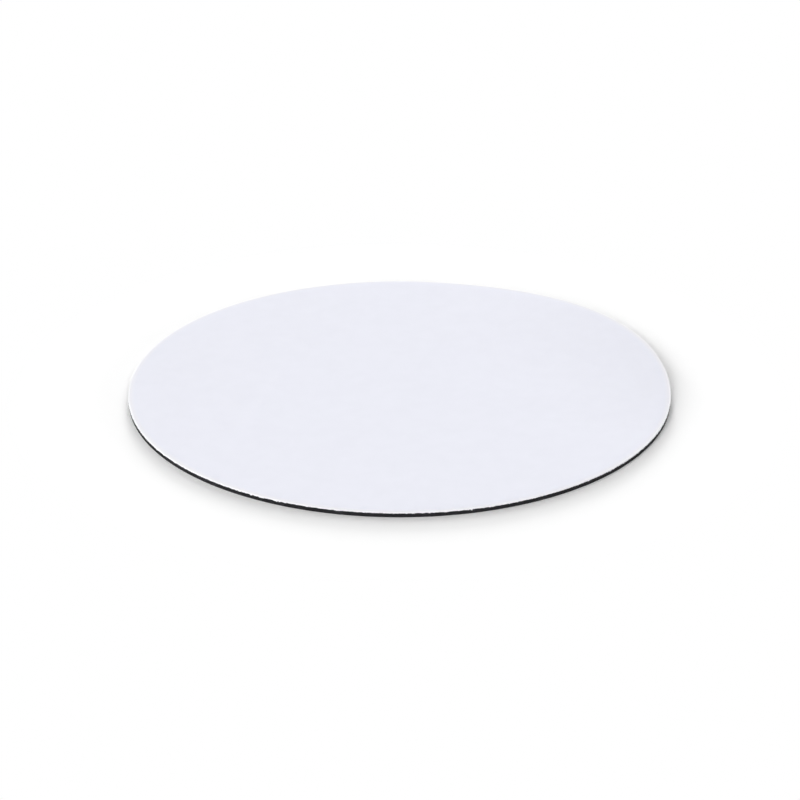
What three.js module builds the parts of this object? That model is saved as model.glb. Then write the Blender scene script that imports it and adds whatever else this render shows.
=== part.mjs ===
// A round mouse pad: a white knitted cloth laminated onto a black sponge rubber disc.
// Millimetres, +Z up. The origin is the centre of the underside, and the pad lies flat on Z = 0.
// Three layers, from the desk up: the rubber base, the adhesive film that holds the laminate
// together, and the cloth that the mouse runs on.

import * as THREE from "three";

// Driving dimensions, in millimetres
const padDiameter = 200;
const rubberThickness = 1.55;
const filmThickness = 0.1;
const clothThickness = 0.35;

// The cut rim: one steel rule cuts cloth, film and rubber together, from the cloth side
const clothPressWidth = 2.5; // the band along the rim that the rule presses down
const clothPressDepth = 0.1; // how far it is pressed down at the cut
const clothRollRadius = 0.18; // how the cloth's upper corner rolls over
const filmSetback = 0.25; // how far the film's edge stays behind the cut
const rubberSetback = 0.1; // how far the rubber springs back under the cloth
const rubberDish = 0.08; // how far the rubber's cut wall is hollow at mid height
const rubberFootRadius = 0.2; // the soft lower corner of the rubber

// Counts of the curves' flat steps
const rimSteps = 144;
const wallSteps = 6;
const cornerSteps = 3;

const padRadius = padDiameter / 2;
const filmBottom = rubberThickness;
const clothBottom = filmBottom + filmThickness;
const clothTop = clothBottom + clothThickness;

const whiteCloth = new THREE.MeshStandardMaterial({ color: 0xecedf6, roughness: 0.92, metalness: 0 });
const clearFilm = new THREE.MeshStandardMaterial({ color: 0xd8d6cf, roughness: 0.45, metalness: 0 });
const blackRubber = new THREE.MeshStandardMaterial({ color: 0x232327, roughness: 0.88, metalness: 0 });

// A solid of revolution about Z. The half section runs from the axis out along the bottom,
// up the rim and back to the axis along the top.
function disc(name, halfSection, material) {
  const geometry = new THREE.LatheGeometry(halfSection, rimSteps);
  geometry.rotateX(Math.PI / 2);
  const mesh = new THREE.Mesh(geometry, material);
  mesh.name = name;
  return mesh;
}

// The rubber: a rounded foot, then a wall that leans in to its sprung-back top and is slightly hollow
function rubberBase() {
  const footCentre = padRadius - rubberFootRadius;
  const topRadius = padRadius - rubberSetback;
  const middleRadius = (padRadius + topRadius) / 2;
  const middleHeight = (rubberFootRadius + rubberThickness) / 2;
  const foot = new THREE.Path();
  foot.moveTo(0, 0);
  foot.lineTo(footCentre, 0);
  foot.absarc(footCentre, rubberFootRadius, rubberFootRadius, -Math.PI / 2, 0, false);
  const wall = new THREE.QuadraticBezierCurve(
    new THREE.Vector2(padRadius, rubberFootRadius),
    new THREE.Vector2(middleRadius - 2 * rubberDish, middleHeight),
    new THREE.Vector2(topRadius, rubberThickness),
  );
  const points = [
    ...foot.getPoints(cornerSteps),
    ...wall.getPoints(wallSteps).slice(1),
    new THREE.Vector2(0, rubberThickness),
  ];
  return disc("rubber_base", points, blackRubber);
}

// The film: a plain thin disc that stops short of the cut edge
function adhesiveFilm() {
  const filmRadius = padRadius - filmSetback;
  const section = new THREE.Path();
  section.moveTo(0, filmBottom);
  section.lineTo(filmRadius, filmBottom);
  section.lineTo(filmRadius, clothBottom);
  section.lineTo(0, clothBottom);
  return disc("adhesive_film", section.getPoints(), clearFilm);
}

// The cloth: square at the bottom, rolled over at the cut, and pressed down in a band along it
function topCloth() {
  const pressedTop = clothTop - clothPressDepth;
  const rollCentre = padRadius - clothRollRadius;
  const pressStart = padRadius - clothPressWidth;
  const pressMiddle = (pressStart + rollCentre) / 2;
  const corner = new THREE.Path();
  corner.moveTo(0, clothBottom);
  corner.lineTo(padRadius, clothBottom);
  corner.absarc(rollCentre, pressedTop - clothRollRadius, clothRollRadius, 0, Math.PI / 2, false);
  const band = new THREE.QuadraticBezierCurve(
    new THREE.Vector2(rollCentre, pressedTop),
    new THREE.Vector2(pressMiddle, clothTop),
    new THREE.Vector2(pressStart, clothTop),
  );
  const points = [
    ...corner.getPoints(cornerSteps),
    ...band.getPoints(wallSteps).slice(1),
    new THREE.Vector2(0, clothTop),
  ];
  return disc("top_cloth", points, whiteCloth);
}

const group = new THREE.Group();
group.add(rubberBase(), adhesiveFilm(), topCloth());

export default group;
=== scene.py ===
"""A round mouse pad: white knitted cloth, hot-melt film and black sponge rubber, cut in one stroke.

Lengths are in millimetres and angles in degrees, and both are turned to Blender's own units where
a mesh, a lamp or the camera is made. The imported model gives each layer's radius and heights.
"""

import logging
import math
from dataclasses import dataclass
from enum import Enum

import bpy
import numpy as np
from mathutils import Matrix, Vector
from mathutils.geometry import delaunay_2d_cdt


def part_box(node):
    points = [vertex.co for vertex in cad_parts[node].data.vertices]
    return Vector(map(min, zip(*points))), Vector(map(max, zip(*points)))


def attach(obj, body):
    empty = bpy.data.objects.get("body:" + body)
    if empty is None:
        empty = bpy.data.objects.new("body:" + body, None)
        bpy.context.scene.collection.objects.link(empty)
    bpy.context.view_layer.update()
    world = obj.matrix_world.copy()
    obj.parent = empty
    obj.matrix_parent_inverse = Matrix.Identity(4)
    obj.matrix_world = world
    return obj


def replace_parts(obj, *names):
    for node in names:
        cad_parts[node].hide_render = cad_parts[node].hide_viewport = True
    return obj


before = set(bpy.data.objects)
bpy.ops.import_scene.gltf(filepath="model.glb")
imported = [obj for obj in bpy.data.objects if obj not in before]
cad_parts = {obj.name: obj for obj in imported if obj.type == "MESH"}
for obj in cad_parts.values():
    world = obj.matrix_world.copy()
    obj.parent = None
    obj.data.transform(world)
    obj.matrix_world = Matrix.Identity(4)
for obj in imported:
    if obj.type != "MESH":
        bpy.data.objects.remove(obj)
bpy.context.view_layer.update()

LOG = logging.getLogger("mouse_pad")
MM = 0.001  # one millimetre, in Blender's metres
BODY = "root"
WHITE = "#FFFFFF"
SHARP_ANGLE = 40.0  # an edge turned more than this stays crisp

# The sockets of Blender's mix node when it mixes colours
MIX_FIRST = 6
MIX_SECOND = 7
MIX_RESULT = 2

# Blender's triangulation keeps the faces inside the outline, and takes points this near for one
INSIDE_OUTLINE = 1
SAME_POINT = 1e-6

# What a node's own property can be, what an input can get, and a colour in linear light
Setting = bool | float | str
Feed = bpy.types.NodeSocket | float | tuple[float, ...]
Colour = tuple[float, float, float, float]


class Layer(Enum):
    """The three CAD layers, named as their nodes are."""

    CLOTH = "top_cloth"
    FILM = "adhesive_film"
    RUBBER = "rubber_base"


class Slot(Enum):
    """The record's material slots."""

    CLOTH = "white_cloth"
    FILM = "laminating_film"
    RUBBER = "sponge_rubber"


def linear(hex_colour: str) -> Colour:
    """Turns an sRGB hex colour to the linear colour that a shader takes.

    Args:
        hex_colour: The colour as "#RRGGBB".

    Returns:
        Red, green and blue in linear light, with full alpha.
    """
    channels = [int(hex_colour[start:start + 2], 16) / 255 for start in (1, 3, 5)]
    light = [c / 12.92 if c <= 0.04045 else ((c + 0.055) / 1.055) ** 2.4 for c in channels]
    return light[0], light[1], light[2], 1.0


def add_node(
    tree: bpy.types.NodeTree,
    kind: str,
    settings: dict[str, Setting] | None = None,
    feeds: dict[str | int, Feed] | None = None,
) -> bpy.types.Node:
    """Adds one node, sets it up and links it.

    Args:
        tree: The node tree that takes the node.
        kind: Blender's name for the node type.
        settings: The node's own properties, by name.
        feeds: What each input gets, by the input's name or number: a socket to link, or a value.

    Returns:
        The new node.
    """
    node = tree.nodes.new(kind)
    for name, value in (settings or {}).items():
        setattr(node, name, value)
    for name, value in (feeds or {}).items():
        if isinstance(value, bpy.types.NodeSocket):
            tree.links.new(value, node.inputs[name])
        else:
            node.inputs[name].default_value = value
    return node


def empty_tree(owner: bpy.types.Material | bpy.types.World) -> bpy.types.NodeTree:
    """Turns nodes on for a material or world and clears what it starts with.

    Args:
        owner: The material or world.

    Returns:
        Its empty node tree.
    """
    owner.use_nodes = True
    owner.node_tree.nodes.clear()
    return owner.node_tree


def new_material(name: str) -> tuple[bpy.types.Material, bpy.types.NodeTree, bpy.types.NodeSocket]:
    """Starts a material whose patterns keep to the object's own axes.

    Args:
        name: The material's name.

    Returns:
        The material, its empty node tree, and the place of the point that is shaded, in metres.
    """
    material = bpy.data.materials.new(name)
    tree = empty_tree(material)
    return material, tree, add_node(tree, "ShaderNodeTexCoord").outputs["Object"]


def rim_noise(rng: np.random.Generator, count: int, wave: float, radius: float) -> np.ndarray:
    """Makes a smooth random line that closes on itself round the rim.

    Args:
        rng: The source of random numbers.
        count: How many points the rim has.
        wave: The length over which the line changes, in millimetres.
        radius: The rim's radius, in millimetres.

    Returns:
        One value for each point, with a mean of 0 and a spread of 1.
    """
    turns = np.fft.rfftfreq(count, 1 / count)
    limit = math.tau * radius / wave
    kept = np.fft.rfft(rng.standard_normal(count)) * np.exp(-((turns / limit) ** 2))
    kept[0] = 0
    line = np.fft.irfft(kept, count)
    return line / line.std()


@dataclass(frozen=True)
class LayerBox:
    """One layer's radius and the heights of its two faces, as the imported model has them."""

    radius: float
    bottom: float
    top: float

    @classmethod
    def of(cls, layer: Layer) -> "LayerBox":
        """Reads a layer from the frame.

        Args:
            layer: The CAD layer.

        Returns:
            Its radius and heights in millimetres.
        """
        low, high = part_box(layer.value)
        return cls(high.x / MM, low.z / MM, high.z / MM)


@dataclass(frozen=True)
class EdgeLift:
    """A stretch of the rim that stands off the desk."""

    height: float  # at most
    bearing: float  # where it stands highest, from +X towards +Y
    spread: float  # how far round the rim it reaches to each side


@dataclass(frozen=True)
class Lie:
    """How the soft pad lies: flat on the desk, with the edge standing off it a little at the back."""

    rim: float  # the radius where the lifts have their full height
    start: float = 45.0  # the radius where the pad leaves the desk
    lifts: tuple[EdgeLift, ...] = (EdgeLift(2.75, 29.5, 53.0), EdgeLift(0.4, 156.0, 59.0))

    def lifted(self, points: np.ndarray) -> np.ndarray:
        """Raises points of the flat pad to where they lie.

        Args:
            points: One row of x, y and z for each point.

        Returns:
            The points with their new heights.
        """
        bearings = np.degrees(np.arctan2(points[:, 1], points[:, 0]))
        outward = (np.hypot(points[:, 0], points[:, 1]) - self.start) / (self.rim - self.start)
        raised = points.copy()
        for lift in self.lifts:
            aside = np.abs((bearings - lift.bearing + 180) % 360 - 180) / lift.spread
            rise = lift.height * np.cos(np.clip(aside, 0, 1) * math.pi / 2) ** 2
            raised[:, 2] += rise * np.clip(outward, 0, None) ** 2
        return raised


def ring_points(radii: np.ndarray, heights: np.ndarray) -> np.ndarray:
    """Places points round the pad's axis at even angles, from +X anticlockwise.

    Args:
        radii: Each point's distance from the axis.
        heights: Each point's height.

    Returns:
        One row of x, y and z for each point.
    """
    angles = np.arange(len(radii)) * math.tau / len(radii)
    return np.column_stack((radii * np.cos(angles), radii * np.sin(angles), heights))


class Shell:
    """The points and faces of one closed body, which is built outwards, upwards and back inwards."""

    def __init__(self) -> None:
        """Starts with no points and no faces."""
        self.blocks: list[np.ndarray] = []
        self.faces: list[tuple[int, ...]] = []
        self.count = 0

    def add(self, points: np.ndarray) -> range:
        """Adds points.

        Args:
            points: One row of x, y and z for each point.

        Returns:
            The new points' numbers.
        """
        first = self.count
        self.blocks.append(points)
        self.count += len(points)
        return range(first, self.count)

    def ring(self, count: int, radius: float, height: float) -> range:
        """Adds an even ring of points and returns their numbers."""
        return self.add(ring_points(np.full(count, radius), np.full(count, height)))

    def bridge(self, first: range, second: range) -> None:
        """Joins two rings by a band of faces.

        Args:
            first: The ring that comes first on the way out, up and back.
            second: The next ring, with as many points, or twice or half as many.
        """
        for here in range(min(len(first), len(second))):
            if len(first) == len(second):
                after = (here + 1) % len(first)
                self.faces.append((first[here], first[after], second[after], second[here]))
            elif len(first) > len(second):
                after = (here + 1) % len(second)
                a, b, c = first[2 * here], first[2 * here + 1], first[2 * after]
                self.faces += [(a, b, second[here]), (b, second[after], second[here])]
                self.faces.append((b, c, second[after]))
            else:
                after = (here + 1) % len(first)
                a, b, c = second[2 * here], second[2 * here + 1], second[2 * after]
                self.faces += [(first[here], b, a), (first[here], first[after], b)]
                self.faces.append((first[after], c, b))

    def chain(self, rings: list[range]) -> None:
        """Joins each ring to the next one."""
        for first, second in zip(rings, rings[1:]):
            self.bridge(first, second)

    def fan(self, ring: range, height: float, upward: bool) -> None:
        """Closes a ring to a point on the axis.

        Args:
            ring: The ring's point numbers.
            height: The centre point's height.
            upward: Whether the faces look up.
        """
        centre = self.add(np.array([[0.0, 0.0, height]]))[0]
        for here, point in enumerate(ring):
            after = ring[(here + 1) % len(ring)]
            self.faces.append((point, after, centre) if upward else (after, point, centre))

    def piece(self, name: str, lie: Lie, material: bpy.types.Material, slot: Slot) -> bpy.types.Object:
        """Makes the Blender object.

        Args:
            name: The piece's name.
            lie: How the pad lies.
            material: The piece's finish.
            slot: The record's slot that the finish belongs to; not used.

        Returns:
            The object, in place and riding on the pad's body.
        """
        mesh = bpy.data.meshes.new(name)
        points = lie.lifted(np.vstack(self.blocks)) * MM
        mesh.from_pydata(points.tolist(), [], self.faces)
        mesh.validate()
        mesh.shade_smooth()
        mesh.set_sharp_from_angle(angle=math.radians(SHARP_ANGLE))
        mesh.materials.append(material)
        made = bpy.data.objects.new(name, mesh)
        bpy.context.scene.collection.objects.link(made)
        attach(made, BODY)
        return made


@dataclass(frozen=True)
class RingBand:
    """A band of evenly spaced rings, all with the same number of points."""

    first: float  # the innermost ring's radius
    last: float
    spacing: float
    count: int

    def rings(self) -> list[tuple[float, int]]:
        """Gives each ring's radius and its number of points."""
        radii = np.arange(self.first, self.last + self.spacing / 2, self.spacing)
        return [(float(radius), self.count) for radius in radii]


# The rings that all layers share inside the rim, so that they bend alike where the edge is lifted
RING_BANDS = (
    RingBand(15.0, 15.0, 5.0, 45),
    RingBand(20.0, 30.0, 5.0, 90),
    RingBand(35.0, 50.0, 5.0, 180),
    RingBand(54.0, 90.0, 4.0, 360),
    RingBand(94.0, 94.0, 4.0, 720),
)
SHARED_RINGS = tuple(ring for band in RING_BANDS for ring in band.rings())


@dataclass(frozen=True)
class KnittedPolyester:
    """Heat-set polyester jersey, dyed a cool white: matt, even and faintly ribbed by its stitches."""

    rim: float  # the cloth's radius
    name: str = "knitted_polyester_heat_set"
    colour: str = "#F1F2FB"
    shade: str = "#EDEEF7"  # the colour where the dye took a little deeper
    press_colour: str = "#F2F2F8"  # the yarn that the cutting rule flattened
    cut_white_and_highlight: str = "#FBFBFE"  # the undyed middle of the yarn along the cut, made whiter still as a painted highlight on the cut edge
    roughness: float = 0.9
    specular: float = 0.0  # even a little would turn the cloth white where it is seen from very low
    sheen: float = 0.02
    sheen_roughness: float = 0.5
    wale: float = 0.8  # really about 0.4: at that size the columns of stitches can't show here
    course: float = 0.64  # really about 0.3
    slant: float = 0.9  # how far a stitch's legs climb, in courses, from its middle to its side
    leg_share: float = 0.25  # half a leg's width, of a column's
    trough_share: float = 0.3  # the height between two stitches, of a stitch's own
    stitch_depth: float = 0.016
    fibre: float = 0.16  # the grain of the loose fibres
    fibre_share: float = 0.45  # their height, of a stitch's
    fibre_detail: float = 2.0  # here and below: how many finer grains a pattern also has
    drift: float = 0.12  # how far the columns wander from straight
    drift_wave: float = 9.0
    drift_detail: float = 1.0
    mottle_wave: float = 6.0  # the size of the patches that took the dye alike
    mottle_detail: float = 3.0
    press_width: float = 2.4  # how far in from the cut the yarn is flattened
    cut_width: float = 0.55  # how far in from the cut the undyed yarn and its painted highlight show
    cut_blur: float = 0.15
    cut_waver: float = 0.25
    cut_wave: float = 0.9
    cut_detail: float = 2.0

    def stitches(self, tree: bpy.types.NodeTree, place: bpy.types.NodeSocket) -> bpy.types.NodeSocket:
        """Draws the columns of V-shaped stitches.

        Args:
            tree: The material's node tree.
            place: The point on the pad, in metres.

        Returns:
            The height of the knit and its loose fibres, in stitch depths.
        """
        wander = add_node(tree, "ShaderNodeTexNoise", {}, {
            "Vector": place, "Scale": 1 / (self.drift_wave * MM), "Detail": self.drift_detail,
        })
        shift = add_node(tree, "ShaderNodeVectorMath", {"operation": "SCALE"}, {
            0: wander.outputs["Color"], "Scale": self.drift * MM,
        })
        bent = add_node(tree, "ShaderNodeVectorMath", {"operation": "ADD"}, {
            0: place, 1: shift.outputs[0],
        })
        counted = add_node(tree, "ShaderNodeVectorMath", {"operation": "MULTIPLY"}, {
            0: bent.outputs[0], 1: (1 / (self.wale * MM), 1 / (self.course * MM), 0.0),
        })
        parts = add_node(tree, "ShaderNodeSeparateXYZ", {}, {0: counted.outputs[0]})
        column = add_node(tree, "ShaderNodeMath", {"operation": "FRACT"}, {0: parts.outputs["X"]})
        centred = add_node(tree, "ShaderNodeMath", {"operation": "SUBTRACT"}, {
            0: column.outputs[0], 1: 0.5,
        })
        aside = add_node(tree, "ShaderNodeMath", {"operation": "ABSOLUTE"}, {0: centred.outputs[0]})
        climb = add_node(tree, "ShaderNodeMath", {"operation": "MULTIPLY_ADD"}, {
            0: aside.outputs[0], 1: 2 * self.slant, 2: parts.outputs["Y"],
        })
        turns = add_node(tree, "ShaderNodeMath", {"operation": "MULTIPLY"}, {
            0: climb.outputs[0], 1: math.tau,
        })
        wave = add_node(tree, "ShaderNodeMath", {"operation": "SINE"}, {0: turns.outputs[0]})
        ribs = add_node(tree, "ShaderNodeMath", {"operation": "PINGPONG"}, {
            0: aside.outputs[0], 1: self.leg_share,
        })
        legs = add_node(tree, "ShaderNodeMapRange", {"interpolation_type": "SMOOTHERSTEP"}, {
            "Value": ribs.outputs[0], "From Max": self.leg_share,
        })
        crest = add_node(tree, "ShaderNodeMapRange", {}, {
            "Value": wave.outputs[0], "From Min": -1.0, "From Max": 1.0, "To Min": self.trough_share,
        })
        knit = add_node(tree, "ShaderNodeMath", {"operation": "MULTIPLY"}, {
            0: legs.outputs[0], 1: crest.outputs[0],
        })
        fuzz = add_node(tree, "ShaderNodeTexNoise", {}, {
            "Vector": place, "Scale": 1 / (self.fibre * MM), "Detail": self.fibre_detail,
        })
        height = add_node(tree, "ShaderNodeMath", {"operation": "MULTIPLY_ADD"}, {
            0: fuzz.outputs["Fac"], 1: self.fibre_share, 2: knit.outputs[0],
        })
        return height.outputs[0]

    def colours(self, tree: bpy.types.NodeTree, place: bpy.types.NodeSocket) -> bpy.types.NodeSocket:
        """Draws the dyed cloth with a whiter band along the cut: partly undyed yarn, partly a painted
        highlight.

        Args:
            tree: The material's node tree.
            place: The point on the pad, in metres.

        Returns:
            The colour.
        """
        cloud = add_node(tree, "ShaderNodeTexNoise", {}, {
            "Vector": place, "Scale": 1 / (self.mottle_wave * MM), "Detail": self.mottle_detail,
        })
        dyed = add_node(tree, "ShaderNodeMix", {"data_type": "RGBA"}, {
            "Factor": cloud.outputs["Fac"],
            MIX_FIRST: linear(self.colour),
            MIX_SECOND: linear(self.shade),
        })
        flat = add_node(tree, "ShaderNodeVectorMath", {"operation": "MULTIPLY"}, {
            0: place, 1: (1.0, 1.0, 0.0),
        })
        radius = add_node(tree, "ShaderNodeVectorMath", {"operation": "LENGTH"}, {0: flat.outputs[0]})
        near_rim = add_node(tree, "ShaderNodeMapRange", {"interpolation_type": "SMOOTHSTEP"}, {
            "Value": radius.outputs["Value"],
            "From Min": (self.rim - self.press_width) * MM,
            "From Max": (self.rim - self.cut_width) * MM,
        })
        pressed = add_node(tree, "ShaderNodeMix", {"data_type": "RGBA"}, {
            "Factor": near_rim.outputs["Result"],
            MIX_FIRST: dyed.outputs[MIX_RESULT],
            MIX_SECOND: linear(self.press_colour),
        })
        frayed = add_node(tree, "ShaderNodeTexNoise", {}, {
            "Vector": place, "Scale": 1 / (self.cut_wave * MM), "Detail": self.cut_detail,
        })
        waver = add_node(tree, "ShaderNodeMath", {"operation": "MULTIPLY_ADD"}, {
            0: frayed.outputs["Fac"], 1: self.cut_waver * MM, 2: radius.outputs["Value"],
        })
        start = self.rim - self.cut_width + self.cut_waver / 2
        cut = add_node(tree, "ShaderNodeMapRange", {"interpolation_type": "SMOOTHSTEP"}, {
            "Value": waver.outputs[0],
            "From Min": (start - self.cut_blur / 2) * MM,
            "From Max": (start + self.cut_blur / 2) * MM,
        })
        # painted highlight: the whiter band along the cut also stands in for the light that the rolled
        # cut edge catches
        mixed = add_node(tree, "ShaderNodeMix", {"data_type": "RGBA"}, {
            "Factor": cut.outputs["Result"],
            MIX_FIRST: pressed.outputs[MIX_RESULT],
            MIX_SECOND: linear(self.cut_white_and_highlight),
        })
        return mixed.outputs[MIX_RESULT]

    def build(self) -> bpy.types.Material:
        """Makes the material.

        Returns:
            The finish of the cloth.
        """
        material, tree, place = new_material(self.name)
        relief = add_node(tree, "ShaderNodeBump", {}, {
            "Strength": 1.0, "Distance": self.stitch_depth * MM, "Height": self.stitches(tree, place),
        })
        surface = add_node(tree, "ShaderNodeBsdfPrincipled", {}, {
            "Base Color": self.colours(tree, place),
            "Roughness": self.roughness,
            "Specular IOR Level": self.specular,
            "Sheen Weight": self.sheen,
            "Sheen Roughness": self.sheen_roughness,
            "Normal": relief.outputs["Normal"],
        })
        add_node(tree, "ShaderNodeOutputMaterial", {}, {"Surface": surface.outputs[0]})
        return material


@dataclass(frozen=True)
class CutPolyesterYarn:
    """The ends of the cut polyester yarn: undyed, whiter than the cloth and dull."""

    name: str = "polyester_yarn_cut"
    colour: str = "#F8F9FB"
    shade: str = "#F0F1F4"
    roughness: float = 0.85
    specular: float = 0.15
    sheen: float = 0.05
    sheen_roughness: float = 0.5
    strand: float = 0.05  # the filaments in the yarn
    strand_detail: float = 2.0
    strand_depth: float = 0.0125
    relief_strength: float = 0.5

    def build(self) -> bpy.types.Material:
        """Makes the material.

        Returns:
            The finish of the cut yarn ends.
        """
        material, tree, place = new_material(self.name)
        strands = add_node(tree, "ShaderNodeTexNoise", {}, {
            "Vector": place, "Scale": 1 / (self.strand * MM), "Detail": self.strand_detail,
        })
        colour = add_node(tree, "ShaderNodeMix", {"data_type": "RGBA"}, {
            "Factor": strands.outputs["Fac"],
            MIX_FIRST: linear(self.colour),
            MIX_SECOND: linear(self.shade),
        })
        relief = add_node(tree, "ShaderNodeBump", {}, {
            "Strength": self.relief_strength,
            "Distance": self.strand_depth * MM,
            "Height": strands.outputs["Fac"],
        })
        surface = add_node(tree, "ShaderNodeBsdfPrincipled", {}, {
            "Base Color": colour.outputs[MIX_RESULT],
            "Roughness": self.roughness,
            "Specular IOR Level": self.specular,
            "Sheen Weight": self.sheen,
            "Sheen Roughness": self.sheen_roughness,
            "Normal": relief.outputs["Normal"],
        })
        add_node(tree, "ShaderNodeOutputMaterial", {}, {"Surface": surface.outputs[0]})
        return material


@dataclass(frozen=True)
class HotMeltFilm:
    """Hot-melt adhesive film, pressed while soft: off-white, slightly glossy, cloudy where it sank in."""

    name: str = "hot_melt_film_pressed"
    colour: str = "#D8D6CF"
    cloud_colour: str = "#C6C4BC"
    cloud: float = 4.0
    cloud_detail: float = 4.0
    cloud_depth: float = 0.01
    smooth: float = 0.38  # the roughness where it lies clear
    rough: float = 0.55  # the roughness where it sank in
    ior: float = 1.48

    def build(self) -> bpy.types.Material:
        """Makes the material.

        Returns:
            The finish of the film.
        """
        material, tree, place = new_material(self.name)
        clouds = add_node(tree, "ShaderNodeTexNoise", {}, {
            "Vector": place, "Scale": 1 / (self.cloud * MM), "Detail": self.cloud_detail,
        })
        colour = add_node(tree, "ShaderNodeMix", {"data_type": "RGBA"}, {
            "Factor": clouds.outputs["Fac"],
            MIX_FIRST: linear(self.colour),
            MIX_SECOND: linear(self.cloud_colour),
        })
        gloss = add_node(tree, "ShaderNodeMapRange", {}, {
            "Value": clouds.outputs["Fac"], "To Min": self.smooth, "To Max": self.rough,
        })
        relief = add_node(tree, "ShaderNodeBump", {}, {
            "Strength": 1.0, "Distance": self.cloud_depth * MM, "Height": clouds.outputs["Fac"],
        })
        surface = add_node(tree, "ShaderNodeBsdfPrincipled", {}, {
            "Base Color": colour.outputs[MIX_RESULT],
            "Roughness": gloss.outputs["Result"],
            "IOR": self.ior,
            "Normal": relief.outputs["Normal"],
        })
        add_node(tree, "ShaderNodeOutputMaterial", {}, {"Surface": surface.outputs[0]})
        return material


@dataclass(frozen=True)
class SpongeRubber:
    """Black sponge rubber, moulded in a sheet and cut: matt, near black, pitted and faintly streaked."""

    name: str = "sponge_rubber_cut"
    colour: str = "#1F1F21"
    # painted shade: the inside of each pore is drawn darker, as shade falls in the pits
    pore_shade_colour: str = "#101012"
    dust_colour: str = "#303033"  # a trace of talc and lint, in random patches
    roughness: float = 0.86
    specular: float = 0.17
    ior: float = 1.52
    pore: float = 0.45  # really 0.1 to 0.2: at that size the pores can't show here
    pore_shares: tuple[float, float] = (0.12, 0.42)  # where a pore's side starts and ends, of its size
    pore_depth: float = 0.05
    drag: float = 0.12  # the upright marks that the cutting rule left
    drag_detail: float = 2.0
    drag_stretch: float = 8.0  # how much taller than wide a mark is
    drag_depth: float = 0.012
    dust: float = 3.0
    dust_detail: float = 5.0
    dust_grain: float = 0.65  # how strong each finer grain is, next to the coarser one
    dust_levels: tuple[float, float] = (0.45, 0.75)  # where the dust starts, and where it is full

    def build(self) -> bpy.types.Material:
        """Makes the material.

        Returns:
            The finish of the rubber.
        """
        material, tree, place = new_material(self.name)
        pore_start, pore_end = self.pore_shares
        dust_start, dust_end = self.dust_levels
        cells = add_node(tree, "ShaderNodeTexVoronoi", {"feature": "F1"}, {
            "Vector": place, "Scale": 1 / (self.pore * MM),
        })
        pores = add_node(tree, "ShaderNodeMapRange", {"interpolation_type": "SMOOTHSTEP"}, {
            "Value": cells.outputs["Distance"], "From Min": pore_start, "From Max": pore_end,
        })
        lint = add_node(tree, "ShaderNodeTexNoise", {}, {
            "Vector": place,
            "Scale": 1 / (self.dust * MM),
            "Detail": self.dust_detail,
            "Roughness": self.dust_grain,
        })
        dusty = add_node(tree, "ShaderNodeMapRange", {"interpolation_type": "SMOOTHSTEP"}, {
            "Value": lint.outputs["Fac"], "From Min": dust_start, "From Max": dust_end,
        })
        skin = add_node(tree, "ShaderNodeMix", {"data_type": "RGBA"}, {
            "Factor": dusty.outputs["Result"],
            MIX_FIRST: linear(self.colour),
            MIX_SECOND: linear(self.dust_colour),
        })
        # painted shade: the pits of the pores get the darker colour
        colour = add_node(tree, "ShaderNodeMix", {"data_type": "RGBA"}, {
            "Factor": pores.outputs["Result"],
            MIX_FIRST: linear(self.pore_shade_colour),
            MIX_SECOND: skin.outputs[MIX_RESULT],
        })
        pitted = add_node(tree, "ShaderNodeBump", {}, {
            "Strength": 1.0, "Distance": self.pore_depth * MM, "Height": pores.outputs["Result"],
        })
        upright = add_node(tree, "ShaderNodeVectorMath", {"operation": "MULTIPLY"}, {
            0: place, 1: (1.0, 1.0, 1 / self.drag_stretch),
        })
        marks = add_node(tree, "ShaderNodeTexNoise", {}, {
            "Vector": upright.outputs[0], "Scale": 1 / (self.drag * MM), "Detail": self.drag_detail,
        })
        relief = add_node(tree, "ShaderNodeBump", {}, {
            "Strength": 1.0,
            "Distance": self.drag_depth * MM,
            "Height": marks.outputs["Fac"],
            "Normal": pitted.outputs["Normal"],
        })
        surface = add_node(tree, "ShaderNodeBsdfPrincipled", {}, {
            "Base Color": colour.outputs[MIX_RESULT],
            "Roughness": self.roughness,
            "Specular IOR Level": self.specular,
            "IOR": self.ior,
            "Normal": relief.outputs["Normal"],
        })
        add_node(tree, "ShaderNodeOutputMaterial", {}, {"Surface": surface.outputs[0]})
        return material


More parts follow.
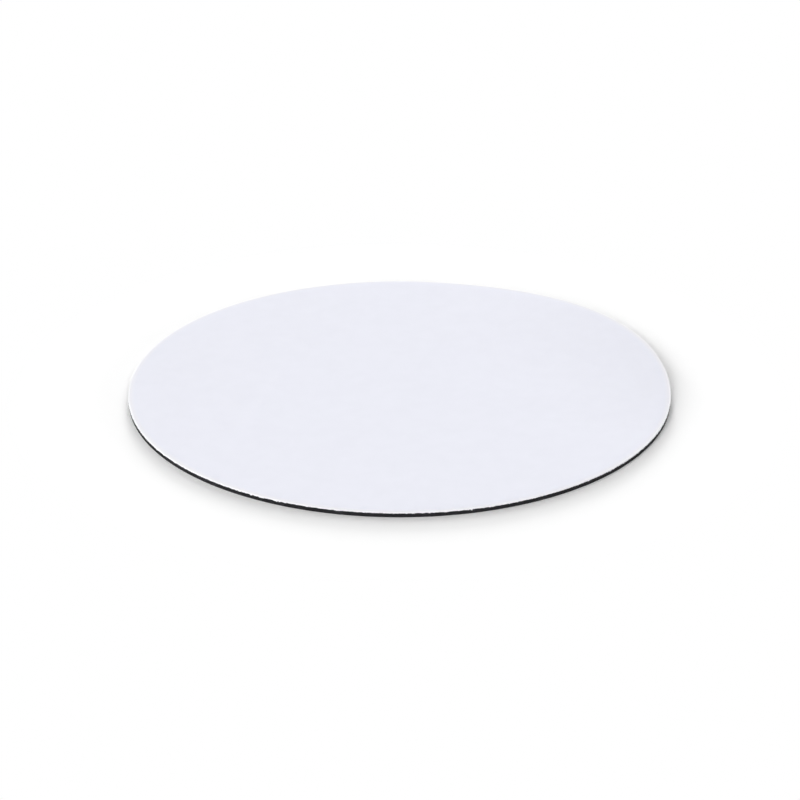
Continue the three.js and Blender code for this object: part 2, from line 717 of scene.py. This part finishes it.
@dataclass(frozen=True)
class ClothTop:
    """The cloth that the mouse runs on, pressed down along the cut and frayed at its lower lip."""

    lie: Lie
    box: LayerBox
    material: bpy.types.Material
    rim_count: int = 2880
    last_inset: float = 3.5  # a ring of half as many points, this far inside the cut
    press_width: float = 2.5  # the band along the rim that the cutting rule pressed down
    press_depth: float = 0.05
    press_shares: tuple[float, ...] = (0.1, 0.22, 0.36, 0.55, 0.78, 1.0)  # its rings, of its width
    roll: float = 0.12  # the radius of the upper corner
    roll_degrees: tuple[float, ...] = (0.0, 30.0, 60.0, 90.0)  # its rings, from the wall to the top
    waver: float = 0.03  # how far the cut wanders in and out
    waver_wave: float = 1.0
    lip_inset: float = 0.05  # the lip's inner side, clear of the rubber under it
    lip_overhang: float = 0.03
    lip_sag: float = 0.08  # how far the lip hangs below the cloth
    lip_sag_spread: float = 0.07
    lip_least: float = 0.015
    lip_outer_share: float = 0.9  # how much of the sag the lip's outer side has
    lip_follow_share: float = 1 / 3  # how much of the outer side's waver and overhang the inner one has
    lip_wave: float = 0.6
    ragged_wave: float = 30.0  # the lip is torn more in some stretches than in others
    ragged_spread: float = 0.35
    ragged_range: tuple[float, float] = (0.4, 1.6)
    tufts: int = 300
    tuft_widths: tuple[float, float] = (0.15, 0.35)
    tuft_drops: tuple[float, float] = (0.06, 0.25)
    seed: int = 81

    def sags(self, rng: np.random.Generator) -> np.ndarray:
        """Works out how far the lip hangs down at each point of the rim.

        Args:
            rng: The source of random numbers.

        Returns:
            One drop for each point, in millimetres.
        """
        radius = self.box.radius
        torn = self.lip_sag_spread * rim_noise(rng, self.rim_count, self.lip_wave, radius)
        along = np.arange(self.rim_count) * math.tau / self.rim_count
        for _ in range(self.tufts):
            where = rng.uniform(0, math.tau)
            width = rng.uniform(*self.tuft_widths)
            apart = (along - where + math.pi) % math.tau - math.pi
            torn += rng.uniform(*self.tuft_drops) * np.exp(-((apart * radius / width) ** 2))
        ragged = 1 + self.ragged_spread * rim_noise(rng, self.rim_count, self.ragged_wave, radius)
        sag = self.lip_sag + torn * np.clip(ragged, *self.ragged_range)
        return np.maximum(sag, self.lip_least)

    def rim_rings(self, shell: Shell) -> list[range]:
        """Adds the rings of the lip, the cut wall, the rolled corner and the pressed band.

        Args:
            shell: The body that takes them.

        Returns:
            The rings' point numbers, from the underside up.
        """
        rng = np.random.default_rng(self.seed)
        sag = self.sags(rng)
        waver = self.waver * rim_noise(rng, self.rim_count, self.waver_wave, self.box.radius)
        level = np.ones(self.rim_count)
        pad, bottom, inner = self.box.radius, self.box.bottom, self.box.radius - self.lip_inset
        outer = pad + self.lip_overhang + waver
        torn = inner + (self.lip_overhang + waver) * self.lip_follow_share
        rings = [
            shell.ring(self.rim_count, inner, bottom),
            shell.add(ring_points(torn, bottom - sag)),
            shell.add(ring_points(outer, bottom - sag * self.lip_outer_share + self.lip_least)),
            shell.add(ring_points(outer, bottom + self.lip_least * level)),
        ]
        pressed = self.box.top - self.press_depth
        for degrees in self.roll_degrees:
            turn = math.radians(degrees)
            radii = pad - self.roll * (1 - math.cos(turn)) + waver * math.cos(turn)
            height = pressed - self.roll * (1 - math.sin(turn))
            rings.append(shell.add(ring_points(radii, height * level)))
        band = self.press_width - self.roll
        for share in self.press_shares:
            height = self.box.top - self.press_depth * (1 - share) ** 2
            rings.append(shell.ring(self.rim_count, pad - self.roll - band * share, height))
        return rings

    def build(self) -> bpy.types.Object:
        """Makes the piece.

        Returns:
            The cloth, in place of its solid.
        """
        shell = Shell()
        rings = (*SHARED_RINGS, (self.box.radius - self.last_inset, self.rim_count // 2))
        under = [shell.ring(count, radius, self.box.bottom) for radius, count in rings]
        rim = self.rim_rings(shell)
        over = [shell.ring(count, radius, self.box.top) for radius, count in reversed(rings)]
        shell.fan(under[0], self.box.bottom, upward=False)
        shell.chain(under + rim + over)
        shell.fan(over[-1], self.box.top, upward=True)
        piece = shell.piece("cloth_top", self.lie, self.material, Slot.CLOTH)
        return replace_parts(piece, Layer.CLOTH.value)


@dataclass(frozen=True)
class YarnEnds:
    """The cut ends of the cloth's yarn, which stand out of the cut all round the rim."""

    lie: Lie
    box: LayerBox
    material: bpy.types.Material
    stubs: int = 1500
    stub_lengths: tuple[float, float] = (0.1, 0.24)
    frays: int = 24
    fray_lengths: tuple[float, float] = (0.3, 0.45)
    thickness: float = 0.07  # the yarn's radius at its root
    taper_shares: tuple[float, ...] = (1.0, 0.95, 0.75, 0.35)
    sides: int = 5
    root_inset: float = 0.04
    root_shares: tuple[float, float] = (-0.05, 0.5)  # heights of the roots, from the cloth's underside
    swing: float = 35.0  # how far an end points aside from straight out
    pitches: tuple[float, float] = (-30.0, 20.0)  # how far up from level an end starts
    droops: tuple[float, float] = (10.0, 35.0)  # how much further down each step points
    seed: int = 23

    def centrelines(self) -> tuple[np.ndarray, np.ndarray, np.ndarray]:
        """Draws where each yarn end runs.

        Returns:
            Each end's points, its heading, and its pitch at each point, the angles in radians.
        """
        rng = np.random.default_rng(self.seed)
        count, steps = self.stubs + self.frays, len(self.taper_shares)
        lengths = rng.uniform(*self.stub_lengths, count)
        lengths[:self.frays] = rng.uniform(*self.fray_lengths, self.frays)
        even = np.arange(count) * math.tau / count
        where = rng.permutation(even) + rng.uniform(-0.5, 0.5, count) * math.tau / count
        heading = where + np.radians(rng.uniform(-self.swing, self.swing, count))
        pitch = np.radians(rng.uniform(*self.pitches, count))
        droop = np.radians(rng.uniform(*self.droops, count))
        thick = self.box.top - self.box.bottom
        height = self.box.bottom + thick * rng.uniform(*self.root_shares, count)
        root = self.box.radius - self.root_inset
        points = np.zeros((count, steps, 3))
        points[:, 0] = np.column_stack((root * np.cos(where), root * np.sin(where), height))
        pitches = pitch[:, None] - droop[:, None] * np.arange(steps)
        for step in range(1, steps):
            level, rise = np.cos(pitches[:, step]), np.sin(pitches[:, step])
            ahead = np.column_stack((level * np.cos(heading), level * np.sin(heading), rise))
            points[:, step] = points[:, step - 1] + ahead * (lengths / (steps - 1))[:, None]
        return points, heading, pitches

    def build(self) -> bpy.types.Object:
        """Makes the piece.

        Returns:
            All the yarn ends, as one object.
        """
        points, heading, pitches = self.centrelines()
        shell = Shell()
        turns = np.arange(self.sides) * math.tau / self.sides
        for end in range(len(points)):
            side = np.array([-math.sin(heading[end]), math.cos(heading[end]), 0.0])
            rings = []
            for step, share in enumerate(self.taper_shares):
                tilt = pitches[end, step]
                lift = np.array([
                    -math.sin(tilt) * math.cos(heading[end]),
                    -math.sin(tilt) * math.sin(heading[end]),
                    math.cos(tilt),
                ])
                across = np.outer(np.cos(turns), side) + np.outer(np.sin(turns), lift)
                rings.append(shell.add(points[end, step] + across * self.thickness * share))
            shell.chain(rings)
            shell.faces += [tuple(reversed(rings[0])), tuple(rings[-1])]
        return shell.piece("cut_yarn_ends", self.lie, self.material, Slot.CLOTH)


@dataclass(frozen=True)
class FilmLayer:
    """The hot-melt film that holds cloth and rubber together, set back a little from the cut."""

    lie: Lie
    box: LayerBox
    material: bpy.types.Material
    rim_count: int = 720
    air: float = 0.005  # keeps its faces off the cloth's and the rubber's
    waver: float = 0.04  # how unevenly the film has run towards the edge
    waver_wave: float = 5.0
    seed: int = 37

    def build(self) -> bpy.types.Object:
        """Makes the piece.

        Returns:
            The film, in place of its solid.
        """
        shell = Shell()
        low, high = self.box.bottom + self.air, self.box.top - self.air
        rng = np.random.default_rng(self.seed)
        waver = self.waver * rim_noise(rng, self.rim_count, self.waver_wave, self.box.radius)
        radii = self.box.radius + waver
        level = np.ones(self.rim_count)
        under = [shell.ring(count, radius, low) for radius, count in SHARED_RINGS]
        rim = [shell.add(ring_points(radii, height * level)) for height in (low, high)]
        over = [shell.ring(count, radius, high) for radius, count in reversed(SHARED_RINGS)]
        shell.fan(under[0], low, upward=False)
        shell.chain(under + rim + over)
        shell.fan(over[-1], high, upward=True)
        piece = shell.piece("laminating_film", self.lie, self.material, Slot.FILM)
        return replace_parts(piece, Layer.FILM.value)


@dataclass(frozen=True)
class RubberBase:
    """The sponge rubber: a die-cut wall, and a waffle of small studs underneath that grips the desk."""

    lie: Lie
    box: LayerBox
    material: bpy.types.Material
    rim_count: int = 720
    setback: float = 0.1  # how far the top springs back under the cloth
    dish: float = 0.08  # how far the cut wall is hollow at mid height
    foot: float = 0.2  # the radius of the soft lower corner
    foot_degrees: tuple[float, ...] = (25.0, 50.0, 75.0, 90.0)  # its rings, from below to the wall
    wall_shares: tuple[float, ...] = (0.12, 0.26, 0.4, 0.55, 0.7, 0.85, 1.0)  # the wall's rings
    waver: float = 0.012  # how far the cut wanders in and out
    waver_wave: float = 2.0
    stud_pitch: float = 2.0
    stud_width: float = 1.4
    groove_depth: float = 0.15
    waffle_margin: float = 0.7  # the grooves end this far inside the cut
    seed: int = 41

    def waffle(self) -> np.ndarray:
        """Places the corners of the studs and the bottoms of the grooves between them.

        Returns:
            One row of x, y and z for each point of the pattern inside the rim.
        """
        reach = self.box.radius / self.stud_pitch
        cells = np.arange(-math.ceil(reach), reach)
        groove = (self.stud_pitch + self.stud_width) / 2
        marks = np.add.outer(cells * self.stud_pitch, (0.0, self.stud_width, groove)).ravel()
        deep = np.tile((0.0, 0.0, self.groove_depth), len(cells))
        x, y = np.meshgrid(marks, marks, indexing="ij")
        depth = np.maximum.outer(deep, deep)
        inside = np.hypot(x, y) < self.box.radius - self.waffle_margin
        return np.column_stack((x[inside], y[inside], depth[inside]))

    def underside(self, shell: Shell) -> range:
        """Adds the waffle and the ring round it.

        Args:
            shell: The body that takes them.

        Returns:
            The ring's point numbers.
        """
        flat_radius = self.box.radius - self.foot
        ring = shell.ring(self.rim_count, flat_radius, self.box.bottom)
        waffle = self.waffle()
        shell.add(waffle)
        everything = np.vstack((shell.blocks[0], waffle))
        flat = [Vector((x, y)) for x, y, _ in everything]
        edges = [(point, (point + 1) % self.rim_count) for point in ring]
        faces = delaunay_2d_cdt(flat, edges, [], INSIDE_OUTLINE, SAME_POINT, False)[2]
        shell.faces += [tuple(reversed(face)) for face in faces]
        return ring

    def build(self) -> bpy.types.Object:
        """Makes the piece.

        Returns:
            The rubber, in place of its solid.
        """
        shell = Shell()
        rings = [self.underside(shell)]
        rng = np.random.default_rng(self.seed)
        waver = self.waver * rim_noise(rng, self.rim_count, self.waver_wave, self.box.radius)
        level = np.ones(self.rim_count)
        for degrees in self.foot_degrees:
            turn = math.radians(degrees)
            radius = self.box.radius - self.foot * (1 - math.sin(turn))
            height = self.box.bottom + self.foot * (1 - math.cos(turn))
            rings.append(shell.add(ring_points(radius + waver * math.sin(turn), height * level)))
        rise = self.box.top - self.box.bottom - self.foot
        for share in self.wall_shares:
            hollow = 4 * self.dish * share * (1 - share)
            radius = self.box.radius - self.setback * share - hollow
            height = self.box.bottom + self.foot + rise * share
            rings.append(shell.add(ring_points(radius + waver, height * level)))
        rings += [shell.ring(count, radius, self.box.top) for radius, count in reversed(SHARED_RINGS)]
        shell.chain(rings)
        shell.fan(rings[-1], self.box.top, upward=True)
        piece = shell.piece("sponge_rubber_base", self.lie, self.material, Slot.RUBBER)
        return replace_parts(piece, Layer.RUBBER.value)


@dataclass(frozen=True)
class SoftLamp:
    """One far, soft lamp, given by where it stands and by its share of the light on the floor."""

    name: str
    bearing: float  # from +X towards +Y
    elevation: float
    half_angle: float  # half of how wide it looks from the pad
    share: float

    def build(self) -> bpy.types.Object:
        """Makes the lamp.

        Returns:
            The lamp, turned towards the pad.
        """
        around, above = math.radians(self.bearing), math.radians(self.elevation)
        light = bpy.data.lights.new(self.name, "SUN")
        light.angle = 2 * math.radians(self.half_angle)
        light.energy = math.pi * self.share / math.sin(above)
        lamp = bpy.data.objects.new(self.name, light)
        towards = Vector((
            math.cos(above) * math.cos(around), math.cos(above) * math.sin(around), math.sin(above),
        ))
        lamp.rotation_euler = towards.to_track_quat("Z", "Y").to_euler()
        bpy.context.scene.collection.objects.link(lamp)
        return lamp


@dataclass(frozen=True)
class Studio:
    """A white floor with soft lamps all round.

    The pad's shadow is soft, and nearly even all round its front half, so about half of the light
    comes from lamps behind it, most of them low, and most of the rest from the left and the front.
    """

    dome_share: float = 0.1
    lamps: tuple[SoftLamp, ...] = (
        SoftLamp("lamp_right_low", 0.0, 8.0, 5.0, 0.03),
        SoftLamp("lamp_back_right", 60.0, 36.0, 15.0, 0.074),
        SoftLamp("lamp_back_right_low", 60.0, 18.0, 12.0, 0.058),
        SoftLamp("lamp_back_low", 90.0, 8.0, 5.0, 0.133),
        SoftLamp("lamp_back", 90.0, 18.0, 12.0, 0.096),
        SoftLamp("lamp_back_left_low", 120.0, 8.0, 5.0, 0.027),
        SoftLamp("lamp_back_left", 150.0, 18.0, 12.0, 0.076),
        SoftLamp("lamp_left_low", 180.0, 18.0, 12.0, 0.026),
        SoftLamp("lamp_left", 210.0, 36.0, 15.0, 0.101),
        SoftLamp("lamp_front_left", 240.0, 36.0, 15.0, 0.148),
        SoftLamp("lamp_front_left_low", 240.0, 18.0, 12.0, 0.04),
        SoftLamp("lamp_front_low", 270.0, 18.0, 12.0, 0.07),
    )
    floor_size: float = 8000.0
    floor_gap: float = 0.02  # keeps the floor's face off the pad's underside
    floor_colour: str = WHITE
    floor_glow: float = 0.04  # brings the open floor up to white for the camera
    white_start: float = 125.0  # past the shadow the floor turns to plain white
    white_end: float = 145.0

    def light_world(self) -> None:
        """Makes the world light the pad evenly, and show as white behind it and in it."""
        world = bpy.data.worlds.new("white_studio")
        tree = empty_tree(world)
        ray = add_node(tree, "ShaderNodeLightPath")
        mirrored = add_node(tree, "ShaderNodeMath", {"operation": "MAXIMUM"}, {
            0: ray.outputs["Is Glossy Ray"], 1: ray.outputs["Is Transmission Ray"],
        })
        seen = add_node(tree, "ShaderNodeMath", {"operation": "MAXIMUM"}, {
            0: ray.outputs["Is Camera Ray"], 1: mirrored.outputs[0],
        })
        dome = add_node(tree, "ShaderNodeBackground", {}, {
            "Color": linear(WHITE), "Strength": self.dome_share,
        })
        white = add_node(tree, "ShaderNodeBackground", {}, {"Color": linear(WHITE), "Strength": 1.0})
        shown = add_node(tree, "ShaderNodeMixShader", {}, {
            0: seen.outputs[0], 1: dome.outputs[0], 2: white.outputs[0],
        })
        add_node(tree, "ShaderNodeOutputWorld", {}, {"Surface": shown.outputs[0]})
        bpy.context.scene.world = world

    def floor_material(self) -> bpy.types.Material:
        """Makes white coated board that keeps the pad's shadow, and plain white beyond it.

        Returns:
            The floor's material.
        """
        material, tree, place = new_material("coated_white_board")
        radius = add_node(tree, "ShaderNodeVectorMath", {"operation": "LENGTH"}, {0: place})
        beyond = add_node(tree, "ShaderNodeMapRange", {"interpolation_type": "SMOOTHSTEP"}, {
            "Value": radius.outputs["Value"],
            "From Min": self.white_start * MM,
            "From Max": self.white_end * MM,
        })
        ray = add_node(tree, "ShaderNodeLightPath").outputs["Is Camera Ray"]
        factor = add_node(tree, "ShaderNodeMath", {"operation": "MULTIPLY"}, {
            0: beyond.outputs["Result"], 1: ray,
        })
        glow = add_node(tree, "ShaderNodeMath", {"operation": "MULTIPLY"}, {0: ray, 1: self.floor_glow})
        board = add_node(tree, "ShaderNodeBsdfDiffuse", {}, {"Color": linear(self.floor_colour)})
        lifted = add_node(tree, "ShaderNodeEmission", {}, {"Strength": glow.outputs[0]})
        near = add_node(tree, "ShaderNodeAddShader", {}, {0: board.outputs[0], 1: lifted.outputs[0]})
        white = add_node(tree, "ShaderNodeEmission", {}, {"Color": linear(WHITE), "Strength": 1.0})
        shown = add_node(tree, "ShaderNodeMixShader", {}, {
            0: factor.outputs[0], 1: near.outputs[0], 2: white.outputs[0],
        })
        add_node(tree, "ShaderNodeOutputMaterial", {}, {"Surface": shown.outputs[0]})
        return material

    def build(self) -> None:
        """Makes the world, the floor and the lamps."""
        self.light_world()
        half, height = self.floor_size / 2 * MM, -self.floor_gap * MM
        corners = [(x * half, y * half, height) for x, y in ((-1, -1), (1, -1), (1, 1), (-1, 1))]
        mesh = bpy.data.meshes.new("studio_floor")
        mesh.from_pydata(corners, [], [(0, 1, 2, 3)])
        mesh.materials.append(self.floor_material())
        floor = bpy.data.objects.new("studio_floor", mesh)
        bpy.context.scene.collection.objects.link(floor)
        for lamp in self.lamps:
            lamp.build()


@dataclass(frozen=True)
class PhotoCamera:
    """The camera, at the photograph's viewing angle and with its framing."""

    aim: tuple[float, float, float] = (0.185, -9.825, 1.0)  # the place in the middle of the picture
    distance: float = 1000.0
    elevation: float = 25.44
    lens: float = 122.64
    sensor: float = 36.0

    def build(self) -> bpy.types.Object:
        """Makes the camera and takes the picture through it.

        Returns:
            The camera, in place.
        """
        data = bpy.data.cameras.new("photo_camera")
        data.lens = self.lens
        data.sensor_width = self.sensor
        camera = bpy.data.objects.new("photo_camera", data)
        above = math.radians(self.elevation)
        back = Vector((0.0, -math.cos(above), math.sin(above)))
        camera.location = (Vector(self.aim) + back * self.distance) * MM
        camera.rotation_euler = (math.pi / 2 - above, 0.0, 0.0)
        bpy.context.scene.collection.objects.link(camera)
        bpy.context.scene.camera = camera
        return camera


@dataclass(frozen=True)
class MousePad:
    """The whole pad: its layers and cut yarn ends, with their finishes."""

    cloth_box: LayerBox
    film_box: LayerBox
    rubber_box: LayerBox

    def build(self) -> list[bpy.types.Object]:
        """Makes every piece.

        Returns:
            The pieces, from the desk up.
        """
        radius = self.cloth_box.radius
        lie = Lie(rim=radius)
        rubber = RubberBase(lie, self.rubber_box, SpongeRubber().build()).build()
        film = FilmLayer(lie, self.film_box, HotMeltFilm().build()).build()
        cloth = ClothTop(lie, self.cloth_box, KnittedPolyester(rim=radius).build()).build()
        yarn = YarnEnds(lie, self.cloth_box, CutPolyesterYarn().build()).build()
        return [rubber, film, cloth, yarn]


def main() -> None:
    """Builds the camera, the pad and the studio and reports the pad's pieces."""
    logging.basicConfig(level=logging.INFO, format="%(name)s: %(message)s")
    bpy.context.scene.view_settings.view_transform = "Standard"
    PhotoCamera().build()
    pieces = MousePad(*(LayerBox.of(layer) for layer in Layer)).build()
    for piece in pieces:
        mesh = piece.data
        LOG.info("%s: %d points, %d faces", piece.name, len(mesh.vertices), len(mesh.polygons))
    Studio().build()


if __name__ == "__main__":
    main()
